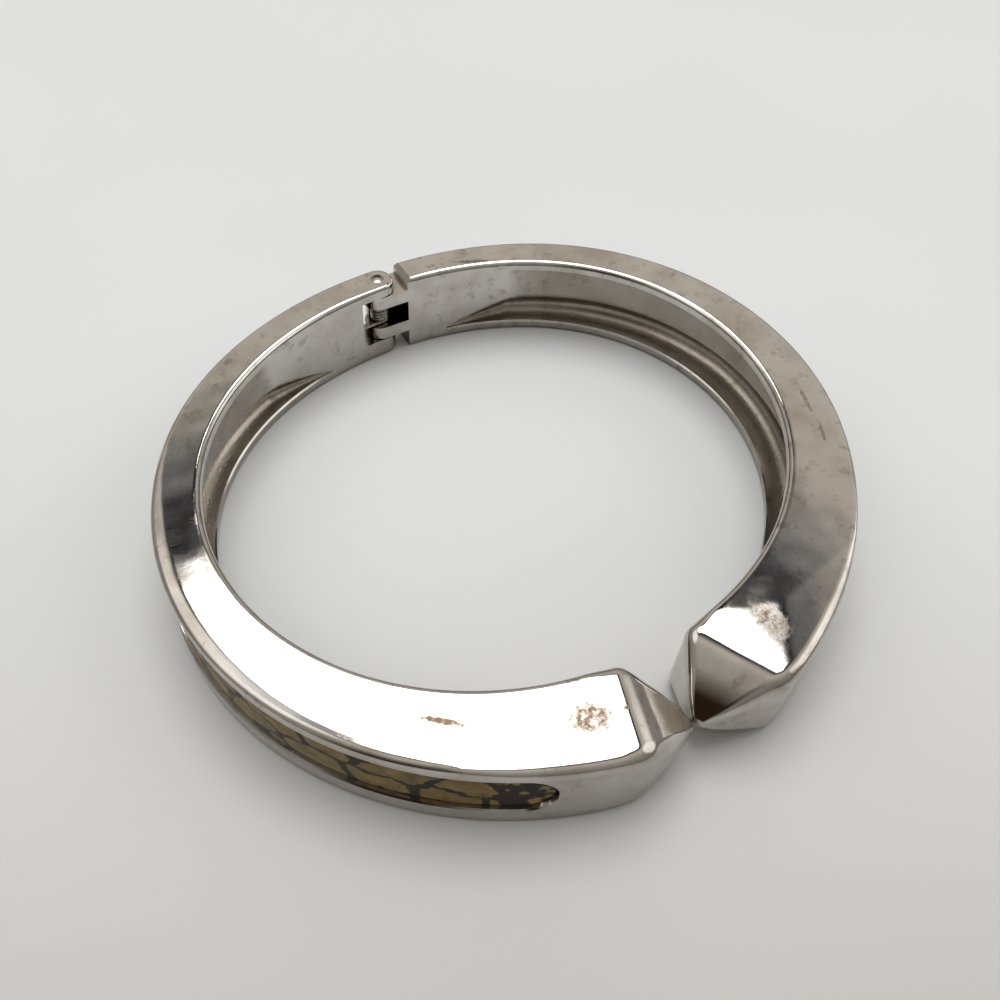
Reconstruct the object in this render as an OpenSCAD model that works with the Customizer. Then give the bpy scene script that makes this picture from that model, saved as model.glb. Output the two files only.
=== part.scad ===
// Hinged bangle bracelet: two cast arms on a sprung hinge, with a four-sided
// pyramid finial on each tip and a patterned strip laid in a channel outside.
// Millimetres, +Z up. The hinge is at +Y and the tips meet at -Y. The origin
// is on the underside, midway between the back of the hinge and the front.
// Angles along an arm are counted from the hinge, round the wrist opening.

/* [Wrist opening] */
// Mean radius of the wrist opening
opening_r = 27.5; // [22:0.5:34]
// How far the sides stand out, and the hinge and tips stand in
opening_oval = 1.95; // [0:0.05:3]
// How much wider the opening is at the tips than at the hinge
opening_egg = 0.12; // [0:0.02:0.4]

/* [Arms] */
// Height of the bangle as it lies on a table
height = 10; // [8:0.1:12]
// Width of an arm at the hinge, seen from above
hinge_w = 3.45; // [2.9:0.05:4.5]
// Width of an arm at its tip, seen from above
tip_w = 8.9; // [7:0.1:11]
// How late the width grows towards the tip, where 1 is an even taper
taper_power = 1.9; // [1:0.1:2.5]
// How far the right arm swells out near its tip, beyond the left one
right_swell = 0.65; // [0:0.05:1]
// Angle from the hinge at which that swell starts
swell_from = 120; // [100:5:140]
// Radius of the upper edge against the wrist
inner_edge_r = 0.55; // [0.2:0.05:0.8]
// Radius of the upper edge on the outside
outer_edge_r = 0.35; // [0.2:0.05:0.8]
// Radius of both edges on the underside
under_edge_r = 0.3; // [0.2:0.05:0.8]

/* [Finials] */
// Angle from the hinge to the inner end of the left finial's base
left_base_in = 170.8; // [168:0.2:172]
// Angle from the hinge to the outer end of the left finial's base
left_base_out = 168.6; // [166:0.2:170]
// Angle from the hinge to the inner end of the right finial's base
right_base_in = 173.6; // [170:0.2:174]
// Angle from the hinge to the outer end of the right finial's base
right_base_out = 167.6; // [166:0.2:170]
// Place of the apex across the arm, from 0 at the wrist to 1 outside
apex_share = 0.66; // [0.4:0.01:0.75]
// Gap between the two apexes when the bangle is closed
apex_gap = 0.5; // [0.3:0.05:0.8]
// Roundness of the pyramids, where 1 has flat faces
finial_round = 0.86; // [0.7:0.02:1]

/* [Channel and inlay] */
// Depth of the channel in the outer wall
channel_d = 0.9; // [0.6:0.05:1.05]
// Lip above the channel
upper_lip = 1.6; // [1.2:0.1:2]
// Lip below the channel
lower_lip = 2.45; // [1.6:0.05:2.6]
// Angle from the hinge at which the channel starts
channel_from = 36; // [30:1:60]
// Angle from the hinge at which the channel ends
channel_to = 157.6; // [140:0.2:160]
// Thickness of the inlaid strip
inlay_t = 0.45; // [0.3:0.05:0.5]
// Glue line round the strip
glue_gap = 0.03; // [0.01:0.01:0.06]

/* [Pocket] */
// Wall left between the pocket and the outside of the arm
pocket_wall = 1.65; // [1.5:0.05:2.2]
// Greatest depth of the pocket
pocket_max_d = 3.3; // [2:0.1:3.6]
// Rim over the pocket and under it
pocket_rim = 1.2; // [1:0.05:1.8]
// Angle from the hinge at which the pocket starts at full height
pocket_from = 33; // [28:1:50]
// Angle from the hinge at which the pocket's lower corner comes to a point
pocket_toe = 17; // [14:1:24]
// Angle from the hinge at which the pocket ends
pocket_to = 150; // [120:1:155]
// Height of that lower corner where it joins the full pocket
toe_h = 3.3; // [2:0.1:4]
// Depth of the pocket's upper part where it starts
pocket_step = 0.3; // [0.1:0.05:0.6]

/* [Hinge] */
// Diameter of the hinge pin
pin_d = 1.1; // [0.9:0.05:1.3]
// Running clearance round the pin, on the radius
pin_gap = 0.05; // [0.02:0.01:0.1]
// Thickness of the upper ear
upper_ear = 1.25; // [1:0.05:1.6]
// Thickness of the lower ear
lower_ear = 2.4; // [1.6:0.05:2.6]
// Gap between an ear and the knuckle
ear_gap = 0.12; // [0.05:0.01:0.2]
// Distance from the pin to the shoulder of each arm
shoulder = 2.85; // [2.6:0.05:3.2]
// Thickness of the knuckle's upper tab
upper_tab = 1.7; // [1.2:0.05:2]
// Thickness of the knuckle's lower tab
lower_tab = 1.6; // [1.2:0.05:1.9]
// Thickness of the web that closes the back of the knuckle
web_t = 0.45; // [0.3:0.05:0.5]
// How far the web reaches past the pin
web_reach = 1; // [0.5:0.1:1.1]
// Bevel on the end of the right arm's top face
shoulder_bevel = 0.5; // [0.2:0.05:0.8]
// Depth of the sunk seats round the ends of the pin
seat_d = 0.15; // [0.05:0.05:0.3]
// Width of those seats beyond the pin
seat_w = 0.2; // [0.1:0.05:0.3]

/* [Spring] */
// Diameter of the spring wire
wire_d = 0.42; // [0.3:0.02:0.44]
// Whole turns of the spring
spring_turns = 5; // [3:1:5]
// Clearance between the spring and the pin
spring_gap = 0.1; // [0.05:0.01:0.15]
// Clearance between the spring and the tabs
tab_gap = 0.08; // [0.05:0.01:0.12]
// How far each leg of the spring reaches into its arm
leg_in = 1.2; // [0.6:0.1:1.6]

/* [Hidden] */
LEFT = -1;
RIGHT = 1;
METAL = "#b9b6b0";
STRIP = "#6f6238";
STEEL = "#8f8d88";
// Cutters stand this far past the faces that they open
cut = 1;
// Rings along an arm and a finial, and facets round each long edge
arm_rings = 56;
finial_rings = 7;
edge_facets = 3;
// Steps along the plan curve of a band, and along a pocket's pointed corner
band_steps = 48;
toe_steps = 8;
// Shares of the pocket's depth and of the corner's height at its point
toe_shares = [0.1, 0.02];
// Share of the pocket's depth where the pointed corner joins it
toe_join = 0.95;
// Depth of that corner's upper end, which all but meets the wrist side
toe_top_d = 0.02;
// Degrees by which the pointed corner reaches into the pocket proper
toe_overlap = 2;
// Facets round the posts, the strips' ends, the bores and the leg holes
post_facets = 64;
bore_facets = 48;
hole_facets = 32;
// The pin stops this far short of both faces
pin_sink = 0.05;
// Share of the full pyramid at which the apex is blunted
blunt_at = 0.98;
// The round ends of a strip stand this far proud, so that no two faces are tangent
end_ease = 0.02;
// Rings on a turn of the spring, and points on each of them
turn_rings = 16;
wire_points = 8;

// Swell of the right arm at angle a, eased in and out
function ease(t) = t * t * (3 - 2 * t);
function swell(side, a) = side == LEFT ? 0
    : right_swell * ease(min(max((a - swell_from) / (right_base_out - swell_from), 0), 1));
// Width of an arm at angle a, seen from above
function arm_w(side, a) = hinge_w + (tip_w - hinge_w) * pow(a / left_base_in, taper_power) + swell(side, a);
// Radius of the wrist opening and of the outside at angle a
function inner_r(a) = opening_r - opening_oval * cos(2 * a) - opening_egg * cos(3 * a);
function outer_r(side, a) = inner_r(a) + arm_w(side, a);

// Centre of the opening, which puts the origin midway from back to front
front_y = min(outer_r(LEFT, left_base_out) * cos(left_base_out),
    outer_r(RIGHT, right_base_out) * cos(right_base_out));
centre_y = -(outer_r(LEFT, 0) + front_y) / 2;
post_r = hinge_w / 2;
pin_y = centre_y + inner_r(0) + post_r;

// Levels of the hinge, from the table up
knuckle_z0 = lower_ear + ear_gap;
window_z0 = knuckle_z0 + lower_tab;
knuckle_z1 = height - upper_ear - ear_gap;
window_z1 = knuckle_z1 - upper_tab;

// Spring: the radius of its coil, the room behind it, and the levels of its two legs
coil_r = pin_d / 2 + spring_gap + wire_d / 2;
room_r = max(post_r - web_t, coil_r + wire_d / 2 + spring_gap);
leg_z0 = window_z0 + tab_gap + wire_d / 2;
leg_z1 = window_z1 - tab_gap - wire_d / 2;

// Channel: its level ends, and the angle that its half-round ends take up
channel_z0 = lower_lip;
channel_z1 = height - upper_lip;
end_angle = atan((channel_z1 - channel_z0) / 2 / opening_r);

function mix(p, q, t) = p + (q - p) * t;
function plan(side, a, r) = [side * r * sin(a), r * cos(a) + centre_y];
// Depth of the pocket at its floor, and of its upper part, which starts shallow
function pocket_d(a) = min(arm_w(LEFT, a) - pocket_wall, pocket_max_d);
function upper_d(a) = min(pocket_step + arm_w(LEFT, a) - arm_w(LEFT, pocket_from), pocket_d(a));

// Section of an arm: a rectangle w wide and h high with rounded corners
function corner(x, z, r, from) = [for (i = [0 : edge_facets])
    let (t = from + 90 * i / edge_facets) [x + r * cos(t), z + r * sin(t)]];
function section(w, h, ri, ro, ru) = concat(
    corner(ru, ru, ru, 180),
    corner(w - ru, ru, ru, 270),
    corner(w - ro, h - ro, ro, 0),
    corner(ri, h - ri, ri, 90));

// Ring of an arm, from angle a_in at the wrist to angle a_out outside
function ring(side, a_in, a_out) = let (
    p = plan(side, a_in, inner_r(a_in)),
    q = plan(side, a_out, outer_r(side, a_out)),
    w = norm(q - p))
    [for (s = section(w, height, inner_edge_r, outer_edge_r, under_edge_r))
        let (m = mix(p, q, s[0] / w)) [m[0], m[1], s[1]]];

// Solid through rings that all have the same number of points
module loft(rings, flip = false) {
    n = len(rings[0]);
    last = len(rings) - 1;
    walls = [for (k = [0 : last - 1], i = [0 : n - 1])
        let (j = (i + 1) % n, a = k * n, b = a + n)
        each [[a + i, a + j, b + j], [a + i, b + j, b + i]]];
    first_cap = [for (i = [n - 1 : -1 : 0]) i];
    last_cap = [for (i = [0 : n - 1]) last * n + i];
    faces = concat(walls, [first_cap, last_cap]);
    turned = [for (f = faces) [for (i = [len(f) - 1 : -1 : 0]) f[i]]];
    polyhedron([for (r = rings) each r], flip ? turned : faces);
}

// Outer form of an arm, from the middle of the pin to the apex
module arm_form(side, base_in, base_out) {
    base = ring(side, base_in, base_out);
    centre = mix(base[0], base[2 * (edge_facets + 1)], 0.5);
    middle = [centre[0], centre[1], height / 2];
    apex = [side * apex_gap / 2, centre_y - mix(inner_r(180), outer_r(LEFT, 180), apex_share), height / 2];
    arm = [for (k = [0 : arm_rings]) ring(side, base_in * k / arm_rings, base_out * k / arm_rings)];
    finial = [for (k = [1 : finial_rings]) let (
        t = k / finial_rings,
        shrink = pow(1 - blunt_at * t, finial_round),
        c = mix(middle, apex, t))
        [for (p = base) c + (p - middle) * shrink]];
    loft(concat(arm, finial), side == RIGHT);
}

// Band between two plan curves, given as functions of the angle
module band(side, from, to, low, high, z0, z1) {
    steps = [for (k = [0 : band_steps]) mix(from, to, k / band_steps)];
    back = [for (k = [band_steps : -1 : 0]) steps[k]];
    translate([0, 0, z0])
        linear_extrude(z1 - z0)
            polygon([for (a = steps) plan(side, a, low(a)), for (a = back) plan(side, a, high(a))]);
}

// Round bar of radius r that points away from the middle of the opening
module spoke(side, a, r, z) {
    translate([0, centre_y, z])
        rotate([0, 0, 90 - side * a])
            rotate([0, 90, 0])
                translate([0, 0, inner_r(a)])
                    cylinder(h = arm_w(side, a) + cut, r = r, $fn = post_facets);
}

// Band with half-round ends, from depth low to depth high under the outside
module strip(side, low, high, gap) {
    z0 = channel_z0 + gap;
    z1 = channel_z1 - gap;
    intersection() {
        band(side, channel_from, channel_to,
            function(a) outer_r(side, a) - low, function(a) outer_r(side, a) - high, z0, z1);
        union() {
            band(side, channel_from + end_angle, channel_to - end_angle,
                function(a) inner_r(a), function(a) outer_r(side, a) + 2 * cut, z0 - cut, z1 + cut);
            for (a = [channel_from + end_angle, channel_to - end_angle])
                spoke(side, a, (z1 - z0) / 2 + end_ease, (z0 + z1) / 2);
        }
    }
}

// Pocket in the wrist side, with its pointed lower corner towards the hinge.
// Its back leans from a deep floor up to a knee, and stands upright above that.
module pocket(side) {
    z0 = pocket_rim;
    z1 = height - pocket_rim;
    knee = z0 + toe_h;
    function at(a, d, z) = let (p = plan(side, a, inner_r(a) + d)) [p[0], p[1], z];
    main = [for (k = [0 : band_steps]) let (a = mix(pocket_from, pocket_to, k / band_steps))
        [at(a, -cut, z0), at(a, pocket_d(a), z0), at(a, upper_d(a), knee),
            at(a, upper_d(a), z1), at(a, -cut, z1)]];
    toe = [for (k = [0 : toe_steps]) let (
        t = k / toe_steps,
        a = mix(pocket_toe, pocket_from + toe_overlap, t),
        top = z0 + toe_h * mix(toe_shares[1], 1, t))
        [at(a, -cut, z0), at(a, pocket_d(pocket_from) * mix(toe_shares[0], toe_join, t), z0),
            at(a, toe_top_d, top), at(a, -cut, top)]];
    loft(main, side == RIGHT);
    loft(toe, side == RIGHT);
}

// Upright post with bevelled edges that rounds the hinge end of an arm
module post() {
    b = outer_edge_r;
    translate([0, pin_y, 0])
        rotate_extrude($fn = post_facets)
            polygon([[0, 0], [post_r - b, 0], [post_r, b],
                [post_r, height - b], [post_r - b, height], [0, height]]);
}

module bore(r, z0, z1) {
    translate([0, pin_y, z0]) cylinder(h = z1 - z0, r = r, $fn = bore_facets);
}

// Slab that cuts the whole width of an arm between two levels
module slab(x0, x1, z0, z1) {
    translate([x0, pin_y - 2 * post_r, z0]) cube([x1 - x0, 4 * post_r, z1 - z0]);
}

// Blind hole in a shoulder for one leg of the spring
module leg_hole(side, z) {
    translate([side * (shoulder - cut), pin_y - coil_r, z])
        rotate([0, side * 90, 0])
            cylinder(h = cut + leg_in + spring_gap, r = wire_d / 2 + spring_gap, $fn = hole_facets);
}

module left_arm() {
    color(METAL) difference() {
        union() {
            arm_form(LEFT, left_base_in, left_base_out);
            post();
        }
        pocket(LEFT);
        strip(LEFT, channel_d, -cut, 0);
        // Slot between the two ears
        slab(-shoulder, post_r + cut, lower_ear, height - upper_ear);
        bore(pin_d / 2, -cut, height + cut);
        bore(pin_d / 2 + seat_w, height - seat_d, height + cut);
        bore(pin_d / 2 + seat_w, -cut, seat_d);
        leg_hole(LEFT, leg_z0);
    }
}

// Room over the knuckle for the upper ear, with the bevel on the shoulder
module upper_ear_room() {
    x0 = -post_r - cut;
    b = shoulder_bevel;
    translate([0, pin_y + 2 * post_r, 0])
        rotate([90, 0, 0])
            linear_extrude(4 * post_r)
                polygon([[x0, knuckle_z1], [shoulder, knuckle_z1], [shoulder, height - b],
                    [shoulder + b, height], [shoulder + b, height + cut], [x0, height + cut]]);
}

// Window for the spring, open to the wrist and closed by the web behind
module window() {
    h = window_z1 - window_z0;
    bore(room_r, window_z0, window_z1);
    translate([0, pin_y - 2 * post_r, window_z0]) cube([shoulder, 2 * post_r + room_r, h]);
    translate([-2 * post_r, pin_y - 2 * post_r, window_z0]) cube([3 * post_r, 2 * post_r, h]);
    translate([-2 * post_r, pin_y - cut, window_z0]) cube([2 * post_r - web_reach, post_r + 2 * cut, h]);
}

module right_arm() {
    color(METAL) difference() {
        union() {
            arm_form(RIGHT, right_base_in, right_base_out);
            post();
        }
        pocket(RIGHT);
        strip(RIGHT, channel_d, -cut, 0);
        upper_ear_room();
        slab(-post_r - cut, shoulder, -cut, knuckle_z0);
        window();
        bore(pin_d / 2 + pin_gap, knuckle_z0 - cut, knuckle_z1 + cut);
        leg_hole(RIGHT, leg_z1);
    }
}

module left_inlay() {
    color(STRIP) strip(LEFT, channel_d - glue_gap, channel_d - inlay_t, glue_gap);
}

module right_inlay() {
    color(STRIP) strip(RIGHT, channel_d - glue_gap, channel_d - inlay_t, glue_gap);
}

// Pin, a little short of both faces, in the sunk seats
module hinge_pin() {
    color(STEEL) bore(pin_d / 2, pin_sink, height - pin_sink);
}

// Torsion spring: both legs leave the coil on its wrist side, one to each arm
module hinge_spring() {
    reach = shoulder + leg_in;
    turns = spring_turns * turn_rings;
    function wire(c, t) = [for (i = [0 : wire_points - 1]) let (u = 360 * i / wire_points)
        c + wire_d / 2 * [cos(u) * cos(t), cos(u) * sin(t), sin(u)]];
    coil = [for (k = [0 : turns]) let (t = 360 * k / turn_rings - 90)
        wire([coil_r * cos(t), pin_y + coil_r * sin(t), mix(leg_z0, leg_z1, k / turns)], t)];
    color(STEEL) loft(concat(
        [wire([-reach, pin_y - coil_r, leg_z0], -90)],
        coil,
        [wire([reach, pin_y - coil_r, leg_z1], -90)]));
}

left_arm();
right_arm();
left_inlay();
right_inlay();
hinge_pin();
hinge_spring();
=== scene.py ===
# %% [markdown]
# # A hinged bangle, cell by cell
# The bangle is two cast arms on a sprung hinge, each with a printed strip let into its outside.
# The CAD frame comes first, and every piece below is built where that frame says, in millimetres,
# and turned to metres at the end. The box of the CAD model is kept, so that the sizes can be compared.

# %% Load the frame
import math

import bmesh
import bpy
from mathutils import Matrix, Vector


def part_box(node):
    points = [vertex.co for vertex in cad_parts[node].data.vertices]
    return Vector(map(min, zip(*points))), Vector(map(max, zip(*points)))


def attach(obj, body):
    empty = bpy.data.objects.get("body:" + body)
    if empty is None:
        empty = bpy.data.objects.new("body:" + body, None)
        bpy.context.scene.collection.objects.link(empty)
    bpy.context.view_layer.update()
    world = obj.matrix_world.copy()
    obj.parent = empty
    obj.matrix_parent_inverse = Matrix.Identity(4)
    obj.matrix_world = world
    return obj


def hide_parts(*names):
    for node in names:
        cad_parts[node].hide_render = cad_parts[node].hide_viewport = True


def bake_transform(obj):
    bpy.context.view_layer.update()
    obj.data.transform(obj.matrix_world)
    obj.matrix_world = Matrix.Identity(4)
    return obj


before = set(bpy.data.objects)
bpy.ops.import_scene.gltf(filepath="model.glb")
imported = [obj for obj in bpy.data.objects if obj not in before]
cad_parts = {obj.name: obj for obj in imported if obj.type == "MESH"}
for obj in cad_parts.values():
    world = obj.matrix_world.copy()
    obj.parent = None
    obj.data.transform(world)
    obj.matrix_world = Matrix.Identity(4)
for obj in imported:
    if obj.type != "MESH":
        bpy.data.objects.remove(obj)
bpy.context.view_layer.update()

# %% [markdown]
# ## Camera
# A hand-held close look, about 50 degrees down, with the horizon a little tilted. The lens is a
# plain 36 mm one. Everything stays sharp, because depth of field is off.

# %% Camera
MM = 0.001


def add_camera(place_mm, look_at_mm, up, lens):
    """Camera at a place in millimetres that looks at a point, with its own up direction."""
    camera = bpy.data.objects.new("camera", bpy.data.cameras.new("camera"))
    bpy.context.scene.collection.objects.link(camera)
    forward = (Vector(look_at_mm) - Vector(place_mm)).normalized()
    right = forward.cross(Vector(up)).normalized()
    true_up = right.cross(forward)
    turn = Matrix((right, true_up, -forward)).transposed()
    camera.matrix_world = Matrix.Translation(Vector(place_mm) * MM) @ turn.to_4x4()
    camera.data.lens = lens
    camera.data.sensor_width = 36
    camera.data.clip_start = 0.005
    bpy.context.scene.camera = camera
    return camera


camera = add_camera((-37.2, -50.69, 85.73), (-0.14, 2.52, 0.8), (0.39, 0.694, 0.605), 36.57)
print("camera at", tuple(round(v, 4) for v in camera.location), "metres")

# %% [markdown]
# ## Sizes of the bangle
# These few numbers drive every curve. The wrist opening is an oval, told as a radius that swells
# and shrinks with the angle from the hinge. The width grows from the hinge to the tip.
# What the frame can tell, such as the height or the pin's place, is read from it.

# %% Driving sizes, in millimetres
LEFT, RIGHT = -1, 1
OPENING_R, OPENING_OVAL, OPENING_EGG = 27.5, 1.95, 0.12
HINGE_W, TIP_W, TAPER_POWER = 3.45, 8.9, 1.9
BASE = {LEFT: (170.8, 168.6), RIGHT: (173.6, 167.6)}
APEX_SHARE, APEX_GAP = 0.66, 0.5
CHANNEL_D, CHANNEL_FROM, CHANNEL_TO = 0.9, 36.0, 157.6
SWELL, SWELL_FROM = 0.65, 120.0
POCKET_WALL, POCKET_MAX_D, POCKET_RIM, POCKET_STEP = 1.65, 3.3, 1.2, 0.3
POCKET_FROM, POCKET_TOE, POCKET_TO, TOE_H = 33.0, 17.0, 150.0, 3.3
SHOULDER, LOWER_EAR, UPPER_EAR, EAR_GAP = 2.85, 2.4, 1.25, 0.12
LOWER_TAB, UPPER_TAB, WEB_T = 1.6, 1.7, 0.45

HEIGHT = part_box("left_arm")[1].z / MM
pin_low, pin_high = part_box("hinge_pin")
PIN_Y = (pin_low.y + pin_high.y) / 2 / MM
PIN_R = (pin_high.x - pin_low.x) / 2 / MM
strip_low, strip_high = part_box("right_inlay")
CHANNEL_MID = (strip_low.z + strip_high.z) / 2 / MM
CHANNEL_HALF = (strip_high.z - strip_low.z) / 2 / MM + 0.03


def ramp(a, start, end):
    """0 before start, 1 after end, and a smooth rise between them."""
    t = min(max((a - start) / (end - start), 0.0), 1.0)
    return t * t * (3 - 2 * t)


def width(side, a):
    """Width of an arm at angle a, seen from above. The right arm swells near its tip."""
    swell = SWELL * ramp(a, SWELL_FROM, BASE[RIGHT][1]) if side == RIGHT else 0.0
    return HINGE_W + (TIP_W - HINGE_W) * (a / BASE[LEFT][0]) ** TAPER_POWER + swell


def inner_r(a):
    """Radius of the wrist opening at angle a."""
    t = math.radians(a)
    return OPENING_R - OPENING_OVAL * math.cos(2 * t) - OPENING_EGG * math.cos(3 * t)


def outer_r(side, a):
    return inner_r(a) + width(side, a)


POST_R = HINGE_W / 2
CENTRE_Y = PIN_Y - POST_R - inner_r(0)


def plan(side, a, r):
    """Point on the plan at angle a from the hinge and radius r from the opening's middle."""
    t = math.radians(a)
    return Vector((side * r * math.sin(t), r * math.cos(t) + CENTRE_Y))


print(f"height {HEIGHT:.2f}, pin at y {PIN_Y:.2f}, opening's middle at y {CENTRE_Y:.2f}")

# %% [markdown]
# ## Mesh helpers
# A loft is a tube through rings that all have the same number of points. It gives clean, even
# quads that follow the shape, so a polished surface reflects without ripples. Where points
# of a ring fall together, the doubles are merged, and the quads there become triangles.

# %% Mesh helpers
def arc(x, z, r, start, end, steps=5):
    """Points on an arc round (x, z), angles in degrees."""
    turns = [math.radians(start + (end - start) * i / steps) for i in range(steps + 1)]
    return [(x + r * math.cos(t), z + r * math.sin(t)) for t in turns]


def mix(p, q, t):
    return p + (q - p) * t


def finish_mesh(name, mesh, sharp=40):
    """Turns a bmesh in millimetres into an object in metres, smooth except at sharp edges."""
    bmesh.ops.remove_doubles(mesh, verts=mesh.verts, dist=1e-4)
    bmesh.ops.dissolve_degenerate(mesh, edges=mesh.edges, dist=1e-5)
    bmesh.ops.recalc_face_normals(mesh, faces=mesh.faces)
    data = bpy.data.meshes.new(name)
    mesh.to_mesh(data)
    mesh.free()
    data.transform(Matrix.Scale(MM, 4))
    piece = bpy.data.objects.new(name, data)
    bpy.context.scene.collection.objects.link(piece)
    shade(piece, sharp)
    return piece


def shade(piece, sharp):
    """Smooth shading, with edges above this angle kept sharp."""
    piece.data.polygons.foreach_set("use_smooth", [True] * len(piece.data.polygons))
    piece.data.set_sharp_from_angle(angle=math.radians(sharp))


def loft(rings, first_cap=True, last_cap=True):
    """A bmesh tube through rings of points."""
    mesh = bmesh.new()
    rows = [[mesh.verts.new(p) for p in ring] for ring in rings]
    for row, following in zip(rows, rows[1:]):
        for i in range(len(row)):
            j = (i + 1) % len(row)
            mesh.faces.new((row[i], row[j], following[j], following[i]))
    if first_cap:
        mesh.faces.new(list(reversed(rows[0])))
    if last_cap:
        mesh.faces.new(rows[-1])
    return mesh


# %% [markdown]
# ## Section of an arm
# Cut an arm across, and the section is a rounded rectangle with two recesses: a shallow channel
# outside for the strip, and a deep pocket on the wrist side that saves metal and weight.
# Both are drawn as points of the section, so their walls and fillets sweep along with the arm.
# The same number of points serves every section, which is what lets them be lofted.

# %% Channel and pocket along an arm
WALL_POINTS = 22
LIP_ROUND = 0.16
STEP_RUN = 4
FILLET_R, CORNER_R = 1.5, 0.5


def channel_half(side, a):
    """Half of the channel's height at angle a, which falls to nothing at its round ends."""
    end = math.degrees(math.atan(CHANNEL_HALF / OPENING_R))
    low, high = CHANNEL_FROM + end, CHANNEL_TO - end
    past = max(low - a, a - high, 0.0)
    reach = math.sin(math.radians(past)) * outer_r(side, a)
    return math.sqrt(max(CHANNEL_HALF**2 - reach**2, 0.0))


def pocket_at(a):
    """Depth at the pocket's floor and above its knee, height of the knee, and the ceiling."""
    full = min(width(LEFT, a) - POCKET_WALL, POCKET_MAX_D)
    ceiling = HEIGHT - POCKET_RIM
    if a >= POCKET_FROM:
        step = POCKET_STEP * ramp(a, POCKET_FROM, POCKET_FROM + STEP_RUN)
        upper = min(step + width(LEFT, a) - width(LEFT, POCKET_FROM), full)
        return full, upper, POCKET_RIM + TOE_H, ceiling
    t = (a - POCKET_TOE) / (POCKET_FROM - POCKET_TOE)
    return full * mix(0.1, 0.95, t), 0.0, POCKET_RIM + TOE_H * mix(0.02, 1, t), ceiling


def plain_wall(low, high):
    """Points up a plain wall, at even steps."""
    return [(0.0, mix(low, high, i / (WALL_POINTS - 1))) for i in range(WALL_POINTS)]


def bend(p, q, r, reach=0.6):
    """Four points that round the corner at q, on the way from p to r."""
    p, q, r = Vector(p), Vector(q), Vector(r)
    start = q + (p - q) * min(0.5, reach / max((p - q).length, reach))
    stop = q + (r - q) * min(0.5, reach / max((r - q).length, reach))
    return [tuple(mix(mix(start, q, t / 3), mix(q, stop, t / 3), t / 3)) for t in range(4)]


def pocket_wall(low, high, depth, upper, knee, ceiling):
    """Points up the wrist side: lip, floor, fillet, leaning back, knee, upper back, upper lip."""
    floor = POCKET_RIM
    lip, top_lip = min(LIP_ROUND, depth / 3), min(LIP_ROUND, upper / 3)
    fillet = min(FILLET_R, 0.6 * depth, 0.45 * (knee - floor))
    corner = min(CORNER_R, 0.4 * upper)
    lean = 90.0
    for _ in range(4):
        t = math.radians(lean - 90)
        end = (depth - fillet + fillet * math.cos(t), floor + fillet + fillet * math.sin(t))
        lean = math.degrees(math.atan2(knee - end[1], upper - end[0]))
    points = [(0.0, low), (0.0, floor - lip), (lip, floor)]
    points += arc(depth - fillet, floor + fillet, fillet, -90, lean - 90, 6)
    points += bend(points[-1], (upper, knee), (upper, ceiling - corner))
    points += arc(upper - corner, ceiling - corner, corner, 0, 90, 4)
    points += [(top_lip, ceiling), (0.0, ceiling + top_lip), (0.0, high)]
    return points


def channel_wall(low, high, half, depth):
    """Depths and heights down the outside: lip, wall, floor, wall and lip."""
    lip = min(LIP_ROUND, half / 3)
    top, bottom = CHANNEL_MID + half, CHANNEL_MID - half
    points = [(0.0, high), (0.0, top + lip), (min(lip, depth), top)]
    steps = WALL_POINTS - 6
    points += [(depth, mix(top, bottom, i / (steps - 1))) for i in range(steps)]
    points += [(min(lip, depth), bottom), (0.0, bottom - lip), (0.0, low)]
    return points


walls = (plain_wall(0, 1), pocket_wall(0.5, 9, 3, 2, 4, 8), channel_wall(1, 9, 3, CHANNEL_D))
print("wall points", [len(wall) for wall in walls])

# %% [markdown]
# ## Faces of the tips
# Near the tips the top face isn't flat. A polisher has laid two shallow facets on it, which meet in
# a crease that runs out to the corner of the finial. They are planes through a few points of
# the plan, and the top is the lowest of them. On the left arm a narrow bevel runs along the outer edge.

# %% Facets on the top face
FACET_DROP, FACETS_FROM = 0.42, 120
CREASE_FROM, CREASE_FORK, FORK_SHARE = 138.5, 156.5, 0.47
BEVEL_W, BEVEL_DROP = 1.25, 0.3


def plane_through(p, q, r):
    """Height as a function of the plan, from a plane through three points."""
    normal = (q - p).cross(r - p)
    return lambda x, y: p.z - (normal.x * (x - p.x) + normal.y * (y - p.y)) / normal.z


def tip_facets(side):
    """Two facets near the tip, from where the crease starts on the outer edge to the base."""
    base_in, base_out = BASE[side]
    start = plan(side, CREASE_FROM, outer_r(side, CREASE_FROM))
    across = mix(inner_r(CREASE_FORK), outer_r(side, CREASE_FORK), FORK_SHARE)
    fork = plan(side, CREASE_FORK, across)
    outer = plan(side, base_out, outer_r(side, base_out))
    inner = plan(side, base_in - 2.0, inner_r(base_in - 2.0))
    start, fork, inner = (p.to_3d() for p in (start, fork, inner))
    outer = Vector((outer.x, outer.y, -FACET_DROP))
    return plane_through(start, fork, outer), plane_through(inner, fork, outer)


FACETS = {side: tip_facets(side) for side in (LEFT, RIGHT)}


def top_drop(side, a, x, y, from_edge):
    """How far the top face lies under the full height."""
    along, across = (facet(x, y) for facet in FACETS[side])
    drop = -min(0.0, along, across) if a > FACETS_FROM else 0.0
    share = ramp(a, 50, 85) * (1 - ramp(a, 132, 150))
    if side == LEFT and share > 0:
        drop = max(drop, BEVEL_DROP * share * max(0.0, 1 - from_edge / (BEVEL_W * share)))
    return drop


# %% [markdown]
# ## Rings and the finial
# Each ring is the section stood up across the arm. Past the base, the ring shrinks towards the
# apex, and it shrinks a little slower at first than at last, which gives the pyramid its cushioned
# faces. The ridge at the base is rounded by starting to shrink just before it.

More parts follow.
